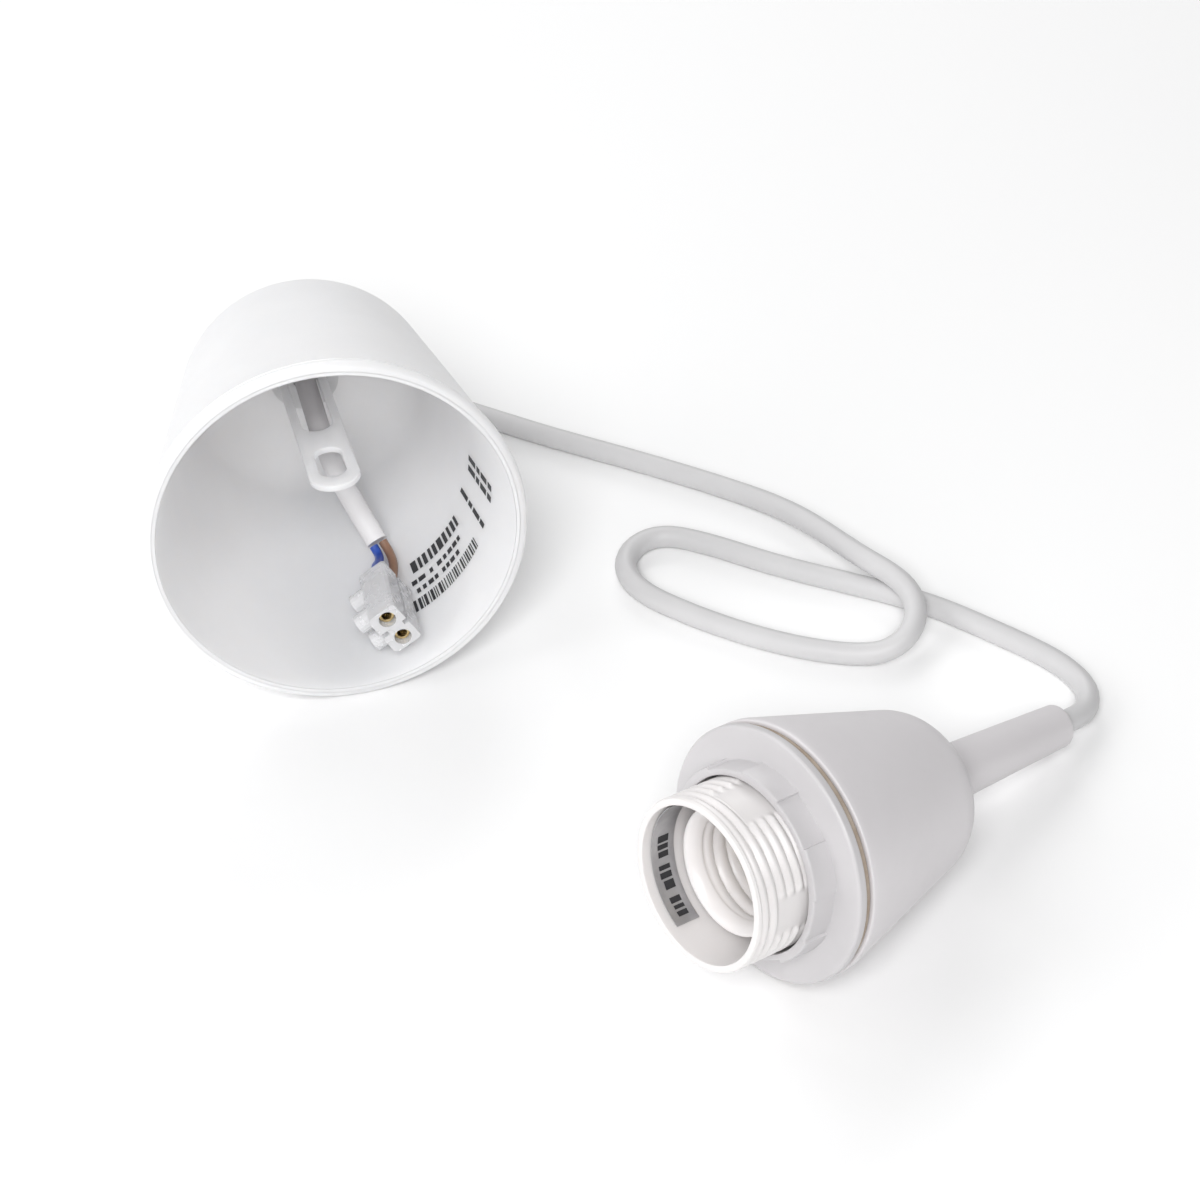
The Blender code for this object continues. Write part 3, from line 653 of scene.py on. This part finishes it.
def flat_share(angle, s):
    """1 where a smooth flat interrupts the skirt's thread, 0 where the thread is whole."""
    if s < 5.4:
        return 0.0
    degrees = (math.degrees(angle) + 180.0) % 360.0 - 180.0
    share = 0.0
    for low, high in SKIRT_FLATS:
        share = max(share, fade(degrees, low - 2.0, high + 2.0, 3.0))
    return share * fade(s, 5.4, 40.0, 0.7)


def skirt_radius(angle, s):
    depth = 0.8 * fade(s, 0.6, 23.0, 0.8)
    whole = 19.6 - depth + depth * wave(angle, s, SKIRT_PITCH, 1.2, 0.6)
    share = flat_share(angle, s)
    return whole * (1.0 - share) + 18.95 * share


def socket_radius(angle, s):
    depth = 1.0 * fade(s, 12.4, 25.2, 1.0)
    return 12.3 + depth * (1.0 - wave(angle, s, E27_PITCH, 14.6, 0.32))


def make_skirt():
    rows = rounded([(17.8, 0.5), (17.8, 0.0, 1), (19.35, 0.0, 1), (19.45, 0.6)], 0.4)
    count = 134
    for i in range(count + 1):
        rows.append((skirt_radius, 0.7 + i * 22.4 / count))
    rows += rounded([(18.9, 23.4), (18.9, 29.2, 1), (17.8, 29.2, 1), (17.8, 15.0)], 0.2)
    bm = bmesh.new()
    revolve(bm, rows, 180)
    piece("skirt_shell", bm, HOLDER, "cord_set", "skirt_white", ("skirt",), 50.0)


def make_label():
    bm = bmesh.new()
    revolve(bm, [(17.3, 2.3), (17.5, 2.3), (17.5, 8.6), (17.3, 8.6)], 60, None, -252.0, -145.0)
    plate = piece("label_plate", bm, HOLDER, "cord_set", "label_silver", ("rating_label",), 40.0)
    marks = bmesh.new()
    angle = -246.0
    for width, gap in ((4.0, 1.8), (3.0, 1.8), (4.5, 6.0), (6.5, 1.8), (4.5, 1.8), (3.5, 6.0),
                       (4.5, 1.8), (4.0, 1.8), (6.0, 1.8)):
        low = 3.8 + dice.uniform(0.0, 0.4)
        revolve(marks, [(17.22, low), (17.29, low), (17.29, 6.9), (17.22, 6.9)], 4, None,
                angle, angle + width)
        angle += width + gap
    piece("label_marks", marks, HOLDER, "cord_set", "ink")
    return plate


def make_sleeve():
    rows = [(12.35, 11.9), (12.6, 10.9), (13.15, 9.9), (13.75, 9.25)]
    rows += rounded([(14.2, 9.0), (14.7, 9.0, 1), (14.8, 9.8)], 0.3)
    rows += [(14.8, 26.6), (15.6, 26.6), (15.6, 27.9), (13.0, 27.9)]
    count = 84
    for i in range(count + 1):
        rows.append((socket_radius, 25.4 - i * 13.1 / count))
    bm = bmesh.new()
    revolve(bm, rows, 120)
    sleeve = piece("sleeve_shell", bm, HOLDER, "cord_set", "sleeve_white", ("thread_sleeve",), 50.0)
    slot = bmesh.new()
    prism(slot, [(-2.6, -16.2), (2.6, -16.2), (2.6, -11.0), (-2.6, -11.0)], 20.4, 28.6)
    combine(sleeve, slot, HOLDER, "DIFFERENCE")


def make_ring():
    angles = []
    for index in range(12):
        base = 15.0 + 30.0 * index
        for extra in (-0.6, -0.25, 0.25, 0.6, 3.0, 6.0, 9.0, 12.0, 15.0, 18.0, 21.0, 24.0, 27.0):
            angles.append(math.radians(base + extra))

    def collar(angle, s):
        place = (math.degrees(angle) - 15.0) / 30.0
        step = int(math.floor(place)) % 2
        return 22.3 if step == 0 else 21.7

    def soft(drop):
        return lambda angle, s: collar(angle, s) - drop

    rows = rounded([(20.15, 14.0), (20.15, 13.2, 1), (20.8, 13.2)], 0.4)
    rows += [(soft(0.5), 13.2), (soft(0.2), 13.3), (soft(0.05), 13.5), (collar, 13.8),
             (collar, 18.9), (soft(-0.1), 19.12), (soft(-0.35), 19.2)]
    rows += rounded([(27.6, 19.2), (28.9, 19.25, 1), (29.3, 19.7, 1), (29.3, 21.4, 1),
                     (28.0, 21.4)], 0.35)
    rows += rounded([(20.15, 21.4, 1), (20.15, 18.0)], 0.3)
    bm = bmesh.new()
    revolve(bm, rows, 0, None, 0.0, 360.0, angles)
    piece("ring_shell", bm, HOLDER, "ring", "ring_white", ("shade_ring",), 30.0)


def make_washer():
    bm = bmesh.new()
    revolve(bm, rounded([(20.5, 21.7, 1), (28.6, 21.7, 1), (28.6, 22.9, 1), (20.5, 22.9, 1)], 0.15),
            120)
    piece("washer_disc", bm, HOLDER, "washer", "fibre_brown", ("shade_washer",), 40.0)


def make_bell():
    rows = rounded([(27.75, 23.9), (27.9, 23.2, 1), (29.4, 23.2, 1), (29.3, 25.0)], 0.55)
    rows += [(29.4 - 0.254 * 19.2, 43.2)]
    rows += arc(6.3, 57.2, 14.0, 14.25, 85.0, 22)
    rows += rounded([(7.4, 71.1, 1), (7.4, 69.5, 1)], 0.3)
    rows += arc(6.3, 57.2, 12.35, 80.0, 14.25, 16)
    rows += [(27.75 - 0.254 * 19.2, 43.2)]
    bm = bmesh.new()
    revolve(bm, rows, 160)
    piece("bell_shell", bm, HOLDER, "bell", "bell_white", ("bell_cover",))


def make_grip():
    rows = rounded([(5.3, 66.3, 1), (6.9, 66.3, 1), (6.85, 69.0), (5.25, 111.2)], 0.4)
    rows += arc(4.05, 111.4, 1.2, 0.0, 90.0, 8)
    rows += rounded([(3.2, 112.6, 1), (3.15, 101.0)], 0.3)
    rows += [(4.5, 101.0), (4.5, 78.3), (5.3, 78.3)]
    bm = bmesh.new()
    revolve(bm, rows, 72)
    grip = piece("grip_shell", bm, HOLDER, "cord_set", "grip_white", ("grip_tube",))
    down = math.radians(85.0)
    direction = Vector((math.cos(down), math.sin(down), 0.0))
    start = direction * 2.9 + Vector((0.0, 0.0, 108.6))
    hole = bmesh.new()
    bar(hole, start, direction, 1.15, 4.0)
    combine(grip, hole, HOLDER, "DIFFERENCE")


# ------------------------------------------------------------------ carried-over CAD nodes

def dress_cad():
    for name, obj in frame["nodes"].items():
        if obj.hide_render:
            continue
        slot = [row["material_slot"] for row in frame["record"]["subparts"] if row["node"] == name]
        look = LOOKS[slot[0]]
        obj.data.materials.clear()
        obj.data.materials.append(look)


LOOKS = make_looks()
make_camera()
make_studio()
make_cord()
make_cup()
make_cup_print()
make_strap()
make_tail()
make_clamp_heads()
make_skirt()
make_label()
make_sleeve()
make_ring()
make_washer()
make_bell()
make_grip()
dress_cad()
